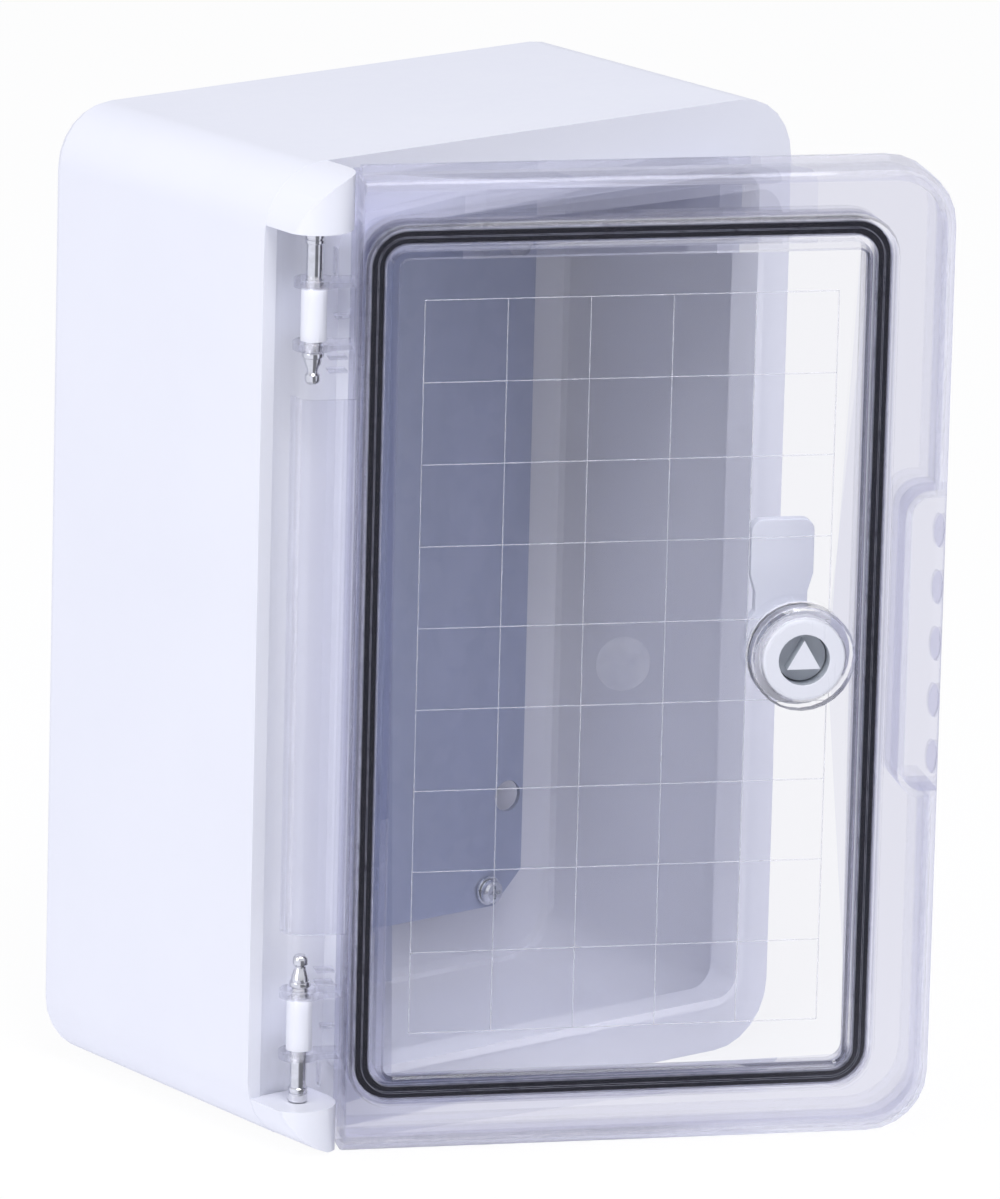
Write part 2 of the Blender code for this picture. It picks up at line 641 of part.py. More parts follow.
def make_rotor(material):
    """The turning core: a triangular key stud in front, a square spindle for the cam behind."""
    face = PANE_Y - LOCK_DISC_FRONT + ROTOR_SINK
    core_back = PANE_BACK_Y + NUT_THICKNESS + ROTOR_STANDOFF
    groove = ROTOR_RADIUS - O_RING_THICKNESS
    groove_front = face + O_RING_SETBACK
    groove_back = groove_front + O_RING_THICKNESS + 2 * GAP
    rotor = turned_shape("lock_rotor", [
        (ROTOR_RADIUS, face), (ROTOR_RADIUS, groove_front), (groove, groove_front),
        (groove, groove_back), (ROTOR_RADIUS, groove_back), (ROTOR_RADIUS, core_back),
        (ROTOR_NECK_RADIUS, core_back), (ROTOR_NECK_RADIUS, cam_front_y() - GAP),
    ], LOCK_PLACE, material)
    corner = STUD_SIDE / math.sqrt(3)
    stud = [(LOCK_X + corner * math.cos(math.radians(90 + 120 * k)),
             LOCK_Z + corner * math.sin(math.radians(90 + 120 * k))) for k in range(3)]
    join(rotor, facing_prism("key_stud", stud, face - STUD_HEIGHT, face + OVERLAP))
    spindle_end = cam_front_y() + CAM_THICKNESS
    join(rotor, facing_prism("spindle", square_at_lock(SPINDLE_SIDE),
                             cam_front_y() - GAP - OVERLAP, spindle_end))
    bore_end = spindle_end - CAM_SCREW_REACH - GAP
    cut(rotor, turned_shape("cam_screw_bore", [(SCREW_BORE, bore_end),
                                               (SCREW_BORE, spindle_end + OVERLAP)], LOCK_PLACE))
    return rotor


def cam_outline():
    """A tongue with a round hub at the axis, a waist, and a broad soft-cornered tip."""
    tip = LOCK_Z + CAM_LENGTH
    half_tip = CAM_WIDTH / 2
    half_waist = CAM_WAIST / 2
    soft = CAM_TIP_CORNER
    shoulder_z = LOCK_Z + CAM_SHOULDER_HEIGHT
    neck_z = LOCK_Z + CAM_NECK_HEIGHT
    hub_angle = math.asin(half_waist / CAM_HUB_RADIUS)
    outline = arc(LOCK_X, LOCK_Z, CAM_HUB_RADIUS, math.pi / 2 + hub_angle,
                  2.5 * math.pi - hub_angle, 20)
    outline += [(LOCK_X + half_waist, neck_z), (LOCK_X + half_tip, shoulder_z)]
    outline += arc(LOCK_X + half_tip - soft, tip - soft, soft, 0.0, math.pi / 2, 5)
    outline += arc(LOCK_X - half_tip + soft, tip - soft, soft, math.pi / 2, math.pi, 5)
    outline += [(LOCK_X - half_tip, shoulder_z), (LOCK_X - half_waist, neck_z)]
    return outline


def make_cam(material):
    front = cam_front_y()
    back = front + CAM_THICKNESS
    cam = facing_prism("lock_cam", cam_outline(), front, back, material)
    cut(cam, facing_prism("spindle_hole", square_at_lock(SPINDLE_SIDE + 2 * GAP),
                          front - OVERLAP, back + OVERLAP))
    return cam


def make_lock_nut(material):
    """A hexagonal nut whose round flange bears on the back of the pane."""
    front = PANE_BACK_Y + GAP
    flange_back = front + NUT_FLANGE
    back = front + NUT_THICKNESS
    nut = turned_shape("lock_nut", [(NUT_FLANGE_RADIUS, front), (NUT_FLANGE_RADIUS, flange_back)],
                       LOCK_PLACE, material)
    join(nut, facing_prism("nut_hexagon", circle(LOCK_X, LOCK_Z, NUT_RADIUS, 6),
                           flange_back - NUT_FLANGE / 2, back))
    bore = SHANK_RADIUS + GAP
    cut(nut, turned_shape("nut_bore", [(bore, front - OVERLAP), (bore, back + OVERLAP)],
                          LOCK_PLACE))
    return nut


def make_seal_ring(material):
    inner = SHANK_RADIUS + GAP
    back = PANE_Y - GAP
    return ring_shape("lock_seal_ring", inner, inner + SEAL_RING_WIDTH,
                      back - SEAL_RING_THICKNESS, back, LOCK_PLACE, material)


def make_rotor_o_ring(material):
    front = PANE_Y - LOCK_DISC_FRONT + ROTOR_SINK + O_RING_SETBACK + GAP
    return ring_shape("rotor_o_ring", ROTOR_RADIUS - O_RING_THICKNESS + GAP, ROTOR_RADIUS,
                      front, front + O_RING_THICKNESS, LOCK_PLACE, material)


def cross_screw(name, place, head_front, seat, tip, head_radius, material, faces_back):
    """A round-headed screw along Y with a cross recess; head_front is its outer face."""
    inwards = -1 if faces_back else 1
    soft = head_radius * HEAD_ROUNDING
    screw = turned_shape(name, [
        (head_radius - soft, head_front),
        (head_radius - soft * 0.25, head_front + inwards * soft * 0.45),
        (head_radius, head_front + inwards * soft),
        (head_radius, seat),
        (SCREW_RADIUS, seat),
        (SCREW_RADIUS, tip - inwards * SCREW_TIP_CHAMFER),
        (SCREW_RADIUS - SCREW_TIP_CHAMFER, tip),
    ], place, material)
    arm = head_radius * RECESS_REACH
    half = head_radius * RECESS_HALF_WIDTH
    cross = []
    for turn in range(4):
        spin = Matrix.Rotation(turn * math.pi / 2, 2)
        for point in ((half, half), (half, arm), (-half, arm)):
            turned = spin @ Vector(point)
            cross.append((place[0] + turned.x, place[2] + turned.y))
    depth = abs(seat - head_front) * RECESS_DEPTH
    ends = sorted((head_front - inwards * OVERLAP, head_front + inwards * depth))
    cut(screw, facing_prism(name + "_recess", cross, ends[0], ends[1]))
    return screw


def make_cam_fixings(washer_material, screw_material):
    washer_front = cam_front_y() + CAM_THICKNESS + GAP
    washer_back = washer_front + WASHER_THICKNESS
    washer = ring_shape("cam_washer", SCREW_BORE, CAM_WASHER_RADIUS, washer_front, washer_back,
                        LOCK_PLACE, washer_material)
    seat = washer_back + GAP
    screw = cross_screw("cam_screw", LOCK_PLACE, seat + CAM_SCREW_HEAD_HEIGHT, seat,
                        cam_front_y() + CAM_THICKNESS - CAM_SCREW_REACH,
                        CAM_SCREW_HEAD_RADIUS, screw_material, faces_back=True)
    return washer, screw


# ---------------------------------------------------------------- mounting plate

def make_plate(material):
    half_width = PLATE_WIDTH / 2
    half_height = PLATE_HEIGHT / 2
    side = half_height - PLATE_CHAMFER
    end = half_width - PLATE_CHAMFER
    outline = [(PLATE_X + x, z) for x, z in (
        (end, half_height), (-end, half_height), (-half_width, side), (-half_width, -side),
        (-end, -half_height), (end, -half_height), (half_width, -side), (half_width, side))]
    plate = facing_prism("mounting_plate", outline, PLATE_Y, PLATE_Y + PLATE_THICKNESS, material)
    front = PLATE_Y - OVERLAP
    back = PLATE_Y + PLATE_THICKNESS + OVERLAP
    for number, place in enumerate(plate_screw_places(), 1):
        cut(plate, turned_shape(f"screw_hole_{number}",
                                [(SCREW_BORE, front), (SCREW_BORE, back)], place))
    for number, place in enumerate(wall_hole_places(), 1):
        cut(plate, turned_shape(f"access_hole_{number}", [
            (ACCESS_HOLE_RADIUS, front), (ACCESS_HOLE_RADIUS, back)], place))
    return plate


def make_plate_fixings(steel, brass):
    for number, place in enumerate(plate_screw_places(), 1):
        washer_back = PLATE_Y - GAP
        washer_front = washer_back - WASHER_THICKNESS
        ring_shape(f"plate_washer_{number}", SCREW_BORE, WASHER_RADIUS, washer_front,
                   washer_back, place, steel)
        seat = washer_front - GAP
        cross_screw(f"plate_screw_{number}", place, seat - SCREW_HEAD_HEIGHT, seat,
                    seat + SCREW_LENGTH, SCREW_HEAD_RADIUS, steel, faces_back=False)
        insert_front = PLATE_Y + PLATE_THICKNESS + 2 * GAP
        ring_shape(f"threaded_insert_{number}", SCREW_BORE, SCREW_BORE + INSERT_WALL,
                   insert_front, insert_front + INSERT_LENGTH, place, brass)


def make_wall_plugs(material):
    for number, place in enumerate(wall_hole_places(), 1):
        seat = -WALL - GAP
        stub = WALL_HOLE_RADIUS - GAP
        turned_shape(f"wall_plug_{number}", [
            (PLUG_HEAD_RADIUS - PLUG_CHAMFER, seat - PLUG_HEAD_HEIGHT),
            (PLUG_HEAD_RADIUS, seat - PLUG_HEAD_HEIGHT + PLUG_CHAMFER),
            (PLUG_HEAD_RADIUS, seat), (stub, seat),
            (stub, -GAP - PLUG_CHAMFER), (stub - PLUG_CHAMFER, -GAP),
        ], place, material)


# ---------------------------------------------------------------- assembly

def axis_empty(name, place, parent=None):
    empty = bpy.data.objects.new(name, None)
    bpy.context.scene.collection.objects.link(empty)
    if parent:
        carry(parent[0], parent[1], empty)
    empty.location = place
    return empty


def carry(holder, place, piece):
    """Hangs a piece, drawn in the closed frame, on an axis that passes through place."""
    piece.parent = holder
    piece.matrix_parent_inverse = Matrix.Translation(-Vector(place))


def main():
    clear_scene()
    white = finish("white_plastic", (0.82, 0.82, 0.86), 0.35)
    clear = finish("clear_plastic", (0.90, 0.90, 0.94), 0.05, alpha=0.3)
    rubber = finish("black_rubber", (0.02, 0.02, 0.025), 0.6)
    pin_steel = finish("bright_steel", (0.75, 0.75, 0.78), 0.15, metallic=1.0)
    plate_steel = finish("zinc_steel", (0.50, 0.53, 0.60), 0.40, metallic=1.0)
    brass = finish("brass", (0.75, 0.58, 0.28), 0.30, metallic=1.0)

    make_body(white)
    make_pin("hinge_pin_upper", UPPER_KNUCKLE_Z, UPPER_SHOULDER_FACE, pin_steel)
    make_pin("hinge_pin_lower", LOWER_KNUCKLE_Z, LOWER_SHOULDER_FACE, pin_steel)
    make_plate(plate_steel)
    make_plate_fixings(pin_steel, brass)
    make_wall_plugs(white)

    hinge_place = (HINGE_X, HINGE_Y, 0.0)
    hinge = axis_empty("hinge_axis", hinge_place)
    lock_place = (LOCK_X, PANE_Y, LOCK_Z)
    lock = axis_empty("lock_axis", lock_place, parent=(hinge, hinge_place))

    for piece in (make_door(clear), make_gasket(rubber), make_lock_body(white),
                  make_seal_ring(rubber), make_lock_nut(white)):
        carry(hinge, hinge_place, piece)
    for piece in (make_rotor(white), make_rotor_o_ring(rubber), make_cam(white),
                  *make_cam_fixings(pin_steel, pin_steel)):
        carry(lock, lock_place, piece)
    hinge.rotation_euler.z = -DOOR_REST_ANGLE


main()
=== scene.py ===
import json
import math

import bmesh
import bpy
from mathutils import Matrix, Vector


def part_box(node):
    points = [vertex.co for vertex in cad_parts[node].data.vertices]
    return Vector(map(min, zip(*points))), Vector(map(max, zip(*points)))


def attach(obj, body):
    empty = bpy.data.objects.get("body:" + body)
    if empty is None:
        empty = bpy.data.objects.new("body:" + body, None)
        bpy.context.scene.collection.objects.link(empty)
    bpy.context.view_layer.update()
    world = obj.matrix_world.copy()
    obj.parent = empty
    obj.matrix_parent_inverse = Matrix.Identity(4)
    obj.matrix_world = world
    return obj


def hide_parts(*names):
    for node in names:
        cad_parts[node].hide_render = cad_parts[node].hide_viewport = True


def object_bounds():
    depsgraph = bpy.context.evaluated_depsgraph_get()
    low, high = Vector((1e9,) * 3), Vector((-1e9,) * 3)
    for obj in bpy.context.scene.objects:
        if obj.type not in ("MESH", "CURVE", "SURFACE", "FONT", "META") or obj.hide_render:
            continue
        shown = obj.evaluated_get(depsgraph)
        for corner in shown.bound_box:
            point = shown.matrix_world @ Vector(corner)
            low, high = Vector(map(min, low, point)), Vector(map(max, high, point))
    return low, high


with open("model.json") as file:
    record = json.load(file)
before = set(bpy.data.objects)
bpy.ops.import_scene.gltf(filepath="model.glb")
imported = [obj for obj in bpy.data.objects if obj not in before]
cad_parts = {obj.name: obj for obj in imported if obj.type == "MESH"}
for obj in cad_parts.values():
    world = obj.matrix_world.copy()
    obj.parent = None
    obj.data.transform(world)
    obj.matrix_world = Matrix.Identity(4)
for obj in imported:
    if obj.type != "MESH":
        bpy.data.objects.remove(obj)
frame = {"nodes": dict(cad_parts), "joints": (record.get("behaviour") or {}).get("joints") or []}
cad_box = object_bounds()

MM = 0.001

# The view of the whole enclosure, in metres and degrees.
CAMERA_PLACE = (-2.17361, -2.84768, 0.92654)
CAMERA_AZIMUTH = -38.31
CAMERA_ELEVATION = 14.76
CAMERA_ROLL = 1.43
CAMERA_LENS = 360.3

SMOOTH_ANGLE = math.radians(32)

# Places on the door and its hinge, in metres.
EAR_BEHIND_TIP = 10.6 * MM       # a pin's tip to the ear it snaps through
KNUCKLE_BEHIND_EAR = 10.7 * MM   # that ear to the knuckle's middle
PANE_MARGIN = 10.5 * MM          # seal's outer side to where the thin pane starts
HINGE_STRIP_START = 5.2 * MM     # seal's outer side to the door's hinge edge
SEAL_WIDTH = 4.2 * MM
RECESS_RADIUS = 7.86 * MM
GRIP_MIDDLE = 2.5 * MM


def case_camera():
    azimuth, elevation, roll = (math.radians(a) for a in (CAMERA_AZIMUTH, CAMERA_ELEVATION, CAMERA_ROLL))
    back = Vector((
        math.sin(azimuth) * math.cos(elevation),
        -math.cos(azimuth) * math.cos(elevation),
        math.sin(elevation),
    ))
    level_right = Vector((math.cos(azimuth), math.sin(azimuth), 0))
    level_up = back.cross(level_right)
    right = math.cos(roll) * level_right + math.sin(roll) * level_up
    up = back.cross(right)
    lens = bpy.data.cameras.new("view")
    lens.lens = CAMERA_LENS
    lens.clip_end = 60
    camera = bpy.data.objects.new("view", lens)
    camera.matrix_world = Matrix.Translation(CAMERA_PLACE) @ Matrix((right, up, back)).transposed().to_4x4()
    bpy.context.scene.collection.objects.link(camera)
    bpy.context.scene.camera = camera


# ---- nodes ----

def add(tree, kind, inputs=None, **settings):
    """Adds a node, sets its settings, and gives each input a value or a link."""
    node = tree.nodes.new(kind)
    for name, value in settings.items():
        setattr(node, name, value)
    for name, value in (inputs or {}).items():
        socket = node.inputs[name]
        if isinstance(value, bpy.types.NodeSocket):
            tree.links.new(value, socket)
        else:
            socket.default_value = value
    return node


def new_finish(name):
    material = bpy.data.materials.new(name)
    material.use_nodes = True
    material.node_tree.nodes.clear()
    return material, material.node_tree


def close_finish(tree, shader):
    output = add(tree, "ShaderNodeOutputMaterial", {"Surface": shader})
    output.is_active_output = True


def place(tree, stretch=(1, 1, 1)):
    """The surface's own place, stretched to draw a pattern out."""
    coordinates = add(tree, "ShaderNodeTexCoord").outputs["Object"]
    return add(tree, "ShaderNodeMapping", {"Vector": coordinates, "Scale": stretch}).outputs[0]


def noise(tree, where, scale, detail=3, roughness=0.5):
    return add(tree, "ShaderNodeTexNoise", {
        "Vector": where, "Scale": scale, "Detail": detail, "Roughness": roughness,
    }).outputs["Fac"]


def spread(tree, value, low, high, start=0.3, end=0.7):
    """Turns a pattern's middle range into a range of numbers."""
    return add(tree, "ShaderNodeMapRange", {
        "Value": value, "From Min": start, "From Max": end, "To Min": low, "To Max": high,
    }).outputs["Result"]


def two_tones(tree, value, first, second, start=0.3, end=0.7):
    ramp = add(tree, "ShaderNodeValToRGB", {"Fac": value})
    for stop, place_on_ramp, tone in zip(ramp.color_ramp.elements, (start, end), (first, second)):
        stop.position = place_on_ramp
        stop.color = (*tone, 1)
    return ramp.outputs["Color"]


def bump(tree, height, distance, strength=1.0, normal=None):
    inputs = {"Height": height, "Distance": distance, "Strength": strength}
    if normal is not None:
        inputs["Normal"] = normal
    return add(tree, "ShaderNodeBump", inputs).outputs["Normal"]


# ---- finishes ----

def moulded_abs(name, tone, deeper, roughness=0.36):
    """Satin moulded plastic: cloudy flow tone, a fine spark texture and faint handling marks."""
    material, tree = new_finish(name)
    where = place(tree)
    cloud = noise(tree, where, 14, 4, 0.55)
    fine = noise(tree, where, 2600, 2, 0.6)
    scuffs = noise(tree, place(tree, (1, 1, 0.15)), 160, 5, 0.7)
    normal = bump(tree, fine, 0.02 * MM, 0.55)
    normal = bump(tree, noise(tree, where, 30, 2), 0.25 * MM, 0.06, normal)
    shader = add(tree, "ShaderNodeBsdfPrincipled", {
        "Base Color": two_tones(tree, cloud, deeper, tone),
        "Roughness": spread(tree, scuffs, roughness - 0.05, roughness + 0.07),
        "IOR": 1.49,
        "Coat Weight": 0.12,
        "Coat Roughness": 0.16,
        "Normal": normal,
    })
    close_finish(tree, shader.outputs[0])
    return material


def clear_polycarbonate(name, tone, thin=0.0, veil=(1, 1, 1)):
    """Clear moulded plastic with slight flow waves, which lets lamps through.

    thin is the share of a view that goes straight on, tinted by veil.
    """
    material, tree = new_finish(name)
    where = place(tree, (1, 1, 0.5))
    waves = bump(tree, noise(tree, where, 22, 2, 0.4), 0.4 * MM, 0.05)
    glass = add(tree, "ShaderNodeBsdfPrincipled", {
        "Base Color": (*tone, 1),
        "Roughness": 0.0,
        "IOR": 1.52,
        "Transmission Weight": 1.0,
        "Normal": waves,
    })
    lamps_through = add(tree, "ShaderNodeBsdfTransparent", {"Color": (*tone, 1)})
    path = add(tree, "ShaderNodeLightPath")
    mix = add(tree, "ShaderNodeMixShader", {0: path.outputs["Is Shadow Ray"]})
    tree.links.new(glass.outputs[0], mix.inputs[1])
    tree.links.new(lamps_through.outputs[0], mix.inputs[2])
    surface = mix.outputs[0]
    if thin:
        straight = add(tree, "ShaderNodeBsdfTransparent", {"Color": (*veil, 1)})
        blend = add(tree, "ShaderNodeMixShader", {0: thin})
        tree.links.new(surface, blend.inputs[1])
        tree.links.new(straight.outputs[0], blend.inputs[2])
        surface = blend.outputs[0]
    close_finish(tree, surface)
    return material


def raised_line_glint(name, thin=0.3, thick=0.6):
    """Clear plastic's fine raised lines, drawn whitish and partly see-through: the lines are real, their
    whiteness is a painted highlight for the light their sides catch.
    """
    material, tree = new_finish(name)
    # Painted highlight: this noise varies how white and how solid the lines look.
    glint_patchiness = noise(tree, place(tree), 220, 3)
    shader = add(tree, "ShaderNodeBsdfPrincipled", {
        "Base Color": two_tones(tree, glint_patchiness, (0.80, 0.82, 0.90), (0.95, 0.96, 1.0)),
        "Roughness": 0.12,
        "IOR": 1.5,
        "Transmission Weight": 0.45,
        "Alpha": spread(tree, glint_patchiness, thin, thick),
    })
    close_finish(tree, shader.outputs[0])
    return material


def seal_rubber(name, tone=(0.006, 0.006, 0.009)):
    material, tree = new_finish(name)
    where = place(tree)
    dust = noise(tree, where, 900, 4, 0.7)
    shader = add(tree, "ShaderNodeBsdfPrincipled", {
        "Base Color": two_tones(tree, dust, tone, tuple(2.4 * c for c in tone), 0.4, 0.8),
        "Roughness": spread(tree, dust, 0.42, 0.62),
        "Specular IOR Level": 0.25,
        "Normal": bump(tree, noise(tree, where, 1800, 2), 0.03 * MM, 0.5),
    })
    close_finish(tree, shader.outputs[0])
    return material


def bright_metal(name, tone, roughness, stretch=(1, 1, 1), streaks=900, wear=0.05):
    """Plated metal with fine machining lines and a little uneven polish."""
    material, tree = new_finish(name)
    lines = noise(tree, place(tree, stretch), streaks, 3, 0.6)
    patches = noise(tree, place(tree), 320, 3)
    darker = tuple(c * (1 - 3 * wear) for c in tone)
    shader = add(tree, "ShaderNodeBsdfPrincipled", {
        "Base Color": two_tones(tree, patches, darker, tone),
        "Metallic": 1.0,
        "Roughness": spread(tree, lines, max(roughness - wear, 0.03), roughness + wear),
        "Normal": bump(tree, lines, 0.01 * MM, 0.5),
    })
    close_finish(tree, shader.outputs[0])
    return material


def galvanised_sheet(name):
    """Zinc-coated steel sheet: upright rolling lines over a faint spangle."""
    material, tree = new_finish(name)
    rolled = noise(tree, place(tree, (1, 1, 0.03)), 1500, 4, 0.65)
    spangle = add(tree, "ShaderNodeTexVoronoi", {"Vector": place(tree), "Scale": 190}).outputs["Color"]
    grey = add(tree, "ShaderNodeRGBToBW", {"Color": spangle}).outputs[0]
    stain = noise(tree, place(tree, (1, 1, 0.35)), 26, 5, 0.65)
    base = add(tree, "ShaderNodeMix", {
        "Factor": spread(tree, grey, 0.0, 0.12),
        "A": two_tones(tree, stain, (0.38, 0.42, 0.56), (0.45, 0.49, 0.65)),
        "B": (0.62, 0.66, 0.80, 1),
    }, data_type="RGBA", blend_type="MULTIPLY")
    shader = add(tree, "ShaderNodeBsdfPrincipled", {
        "Metallic": 0.5,
        "Roughness": spread(tree, rolled, 0.30, 0.46),
        "Normal": bump(tree, rolled, 0.02 * MM, 0.4),
    })
    tree.links.new(base.outputs["Result"], shader.inputs["Base Color"])
    close_finish(tree, shader.outputs[0])
    return material


def pale_floor(name):
    """A white sweep, plain where it is looked at, with a painted reflection: it glows for glossy rays, dimmer
    in a wedge in front.
    """
    material, tree = new_finish(name)
    where = place(tree)
    path = add(tree, "ShaderNodeLightPath")
    lit = add(tree, "ShaderNodeBsdfPrincipled", {
        "Base Color": two_tones(tree, noise(tree, where, 1.3, 3), (0.90, 0.90, 0.91), (0.92, 0.92, 0.93)),
        "Roughness": 0.9,
        "Specular IOR Level": 0.1,
        "Emission Color": (1, 1, 1, 1),
        "Emission Strength": 0.14,
    })
    white = add(tree, "ShaderNodeEmission", {"Color": (1, 1, 1, 1), "Strength": 1.0})
    looked_at = number(tree, "MAXIMUM", path.outputs["Is Camera Ray"], path.outputs["Is Transmission Ray"])
    plain = add(tree, "ShaderNodeMixShader", {0: number(tree, "MULTIPLY", looked_at, 0.92)})
    tree.links.new(lit.outputs[0], plain.inputs[1])
    tree.links.new(white.outputs[0], plain.inputs[2])
    parts = add(tree, "ShaderNodeSeparateXYZ", {"Vector": where}).outputs
    bearing = number(tree, "ARCTAN2", parts["X"], number(tree, "MULTIPLY", parts["Y"], -1.0))
    off_front = number(tree, "ABSOLUTE", number(tree, "ADD", bearing, 0.26))
    # Painted reflection: glossy rays see the floor glow, dimmed in a wedge in front of the object.
    painted_reflection_wedge = add(tree, "ShaderNodeEmission", {
        "Color": (0.88, 0.90, 1.0, 1), "Strength": spread(tree, off_front, 0.22, 1.0, 0.28, 0.42),
    })
    mirrored = number(tree, "SUBTRACT", path.outputs["Is Glossy Ray"], path.outputs["Is Transmission Ray"])
    mix = add(tree, "ShaderNodeMixShader", {0: mirrored})
    tree.links.new(plain.outputs[0], mix.inputs[1])
    tree.links.new(painted_reflection_wedge.outputs[0], mix.inputs[2])
    close_finish(tree, mix.outputs[0])
    return material


# ---- shapes ----

def as_piece(name, mesh, finish, body, slot, *stands_for):
    piece = bpy.data.objects.new(name, mesh)
    bpy.context.scene.collection.objects.link(piece)
    mesh.materials.clear()
    mesh.materials.append(finish)
    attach(piece, body)
    if stands_for:
        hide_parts(*stands_for)
    return piece


def second_finish(piece, finish, chosen):
    """Gives the faces picked by their middle, in the closed door's place, a finish of their own."""
    mesh = piece.data
    mesh.materials.append(finish)
    for polygon in mesh.polygons:
        if chosen(DOOR_CLOSED @ polygon.center):
            polygon.material_index = len(mesh.materials) - 1


def shade(mesh, angle=SMOOTH_ANGLE):
    """Smooth shading, with edges sharper than the angle kept sharp."""
    for polygon in mesh.polygons:
        polygon.use_smooth = True
    mesh.set_sharp_from_angle(angle=angle)


def baked(piece):
    """The piece's mesh with its modifiers applied."""
    graph = bpy.context.evaluated_depsgraph_get()
    mesh = bpy.data.meshes.new_from_object(piece.evaluated_get(graph))
    bpy.data.objects.remove(piece)
    return mesh


def eased(node, edge):
    """A copy of a solid's mesh with its sharp edges eased and its flats kept flat."""
    mesh = frame["nodes"][node].data.copy()
    work = bmesh.new()
    work.from_mesh(mesh)
    bmesh.ops.remove_doubles(work, verts=work.verts, dist=0.005 * MM)
    bmesh.ops.dissolve_limit(
        work, angle_limit=math.radians(0.02), verts=work.verts, edges=work.edges,
    )
    work.to_mesh(mesh)
    work.free()
    mesh.materials.clear()
    shade(mesh)
    piece = bpy.data.objects.new(node + "_easing", mesh)
    bpy.context.scene.collection.objects.link(piece)
    bevel = piece.modifiers.new("ease", "BEVEL")
    bevel.width = edge
    bevel.segments = 2
    bevel.limit_method = "ANGLE"
    bevel.angle_limit = SMOOTH_ANGLE
    bevel.use_clamp_overlap = True
    flats = piece.modifiers.new("flats", "WEIGHTED_NORMAL")
    flats.weight = 90
    flats.keep_sharp = True
    bpy.context.view_layer.update()
    return baked(piece)


# ---- the door's own frame: closed, before it swings to rest ----

joint = {j["name"]: j for j in frame["joints"]}
HINGE = Vector(joint["door_hinge"]["pos_m"])
SWING = -math.radians(joint["door_hinge"]["range_deg"][0])
DOOR_AT_REST = (
    Matrix.Translation(HINGE)
    @ Matrix.Rotation(SWING, 4, Vector(joint["door_hinge"]["axis"]))
    @ Matrix.Translation(-HINGE)
)
DOOR_CLOSED = DOOR_AT_REST.inverted()


def closed_box(node):
    """A door piece's lowest and highest corners with the door closed."""
    corners = [DOOR_CLOSED @ v.co for v in frame["nodes"][node].data.vertices]
    return (
        Vector(min(c[i] for c in corners) for i in range(3)),
        Vector(max(c[i] for c in corners) for i in range(3)),
    )


# ---- pieces that repeat or follow a path, made by geometry nodes ----

def grown(name, sizes, build, finish):
    """A plain mesh from a node tree whose sizes are named inputs."""
    tree = bpy.data.node_groups.new(name, "GeometryNodeTree")
    inputs = tree.nodes.new("NodeGroupInput")
    for size, value in sizes.items():
        kind = "NodeSocketInt" if isinstance(value, int) else "NodeSocketFloat"
        tree.interface.new_socket(size, in_out="INPUT", socket_type=kind)
    tree.interface.new_socket("Geometry", in_out="OUTPUT", socket_type="NodeSocketGeometry")
    shape = build(tree, inputs.outputs)
    whole = add(tree, "GeometryNodeRealizeInstances", {"Geometry": shape})
    coloured = add(tree, "GeometryNodeSetMaterial", {"Geometry": whole.outputs[0], "Material": finish})
    add(tree, "NodeGroupOutput", {0: coloured.outputs[0]})
    carrier = bpy.data.objects.new(name, bpy.data.meshes.new(name))
    bpy.context.scene.collection.objects.link(carrier)
    modifier = carrier.modifiers.new(name, "NODES")
    modifier.node_group = tree
    for item in tree.interface.items_tree:
        if item.in_out == "INPUT":
            modifier[item.identifier] = sizes[item.name]
    bpy.context.view_layer.update()
    mesh = baked(carrier)
    mesh.name = name
    return mesh


def number(tree, operation, first, second=0.0):
    return add(tree, "ShaderNodeMath", {0: first, 1: second}, operation=operation).outputs[0]


def vector(tree, x=0.0, y=0.0, z=0.0):
    return add(tree, "ShaderNodeCombineXYZ", {"X": x, "Y": y, "Z": z}).outputs[0]


def joined(tree, *shapes):
    join = tree.nodes.new("GeometryNodeJoinGeometry")
    for shape in shapes:
        tree.links.new(shape, join.inputs[0])
    return join.outputs[0]


def moved(tree, shape, translation=(0, 0, 0), rotation=(0, 0, 0), scale=(1, 1, 1)):
    return add(tree, "GeometryNodeTransform", {
        "Geometry": shape, "Translation": translation, "Rotation": rotation, "Scale": scale,
    }).outputs[0]


def row_of(tree, shape, count, start, step):
    line = add(tree, "GeometryNodeMeshLine", {
        "Count": count, "Start Location": start, "Offset": step,
    }, mode="OFFSET")
    return add(tree, "GeometryNodeInstanceOnPoints", {
        "Points": line.outputs[0], "Instance": shape,
    }).outputs[0]


def bar(tree, start, end):
    return add(tree, "GeometryNodeCurvePrimitiveLine", {"Start": start, "End": end}).outputs[0]


def round_rod(tree, path, radius, sides=8, tall=1.0):
    ring = add(tree, "GeometryNodeCurvePrimitiveCircle", {"Radius": radius, "Resolution": sides})
    section = moved(tree, ring.outputs[0], scale=(1, tall, 1))
    return add(tree, "GeometryNodeCurveToMesh", {
        "Curve": path, "Profile Curve": section, "Fill Caps": True,
    }).outputs[0]


def rounded_path(tree, width, height, radius, steps=10):
    """An upright rounded rectangle."""
    frame_curve = add(tree, "GeometryNodeCurvePrimitiveQuadrilateral", {"Width": width, "Height": height})
    rounded = add(tree, "GeometryNodeFilletCurve", {
        "Curve": frame_curve.outputs[0], "Radius": radius, "Count": steps,
    }, mode="POLY")
    return moved(tree, rounded.outputs[0], rotation=(math.pi / 2, 0, 0))


def to_door(mesh, x=0.0, y=0.0, z=0.0):
    mesh.transform(DOOR_AT_REST @ Matrix.Translation((x, y, z)))
    return mesh


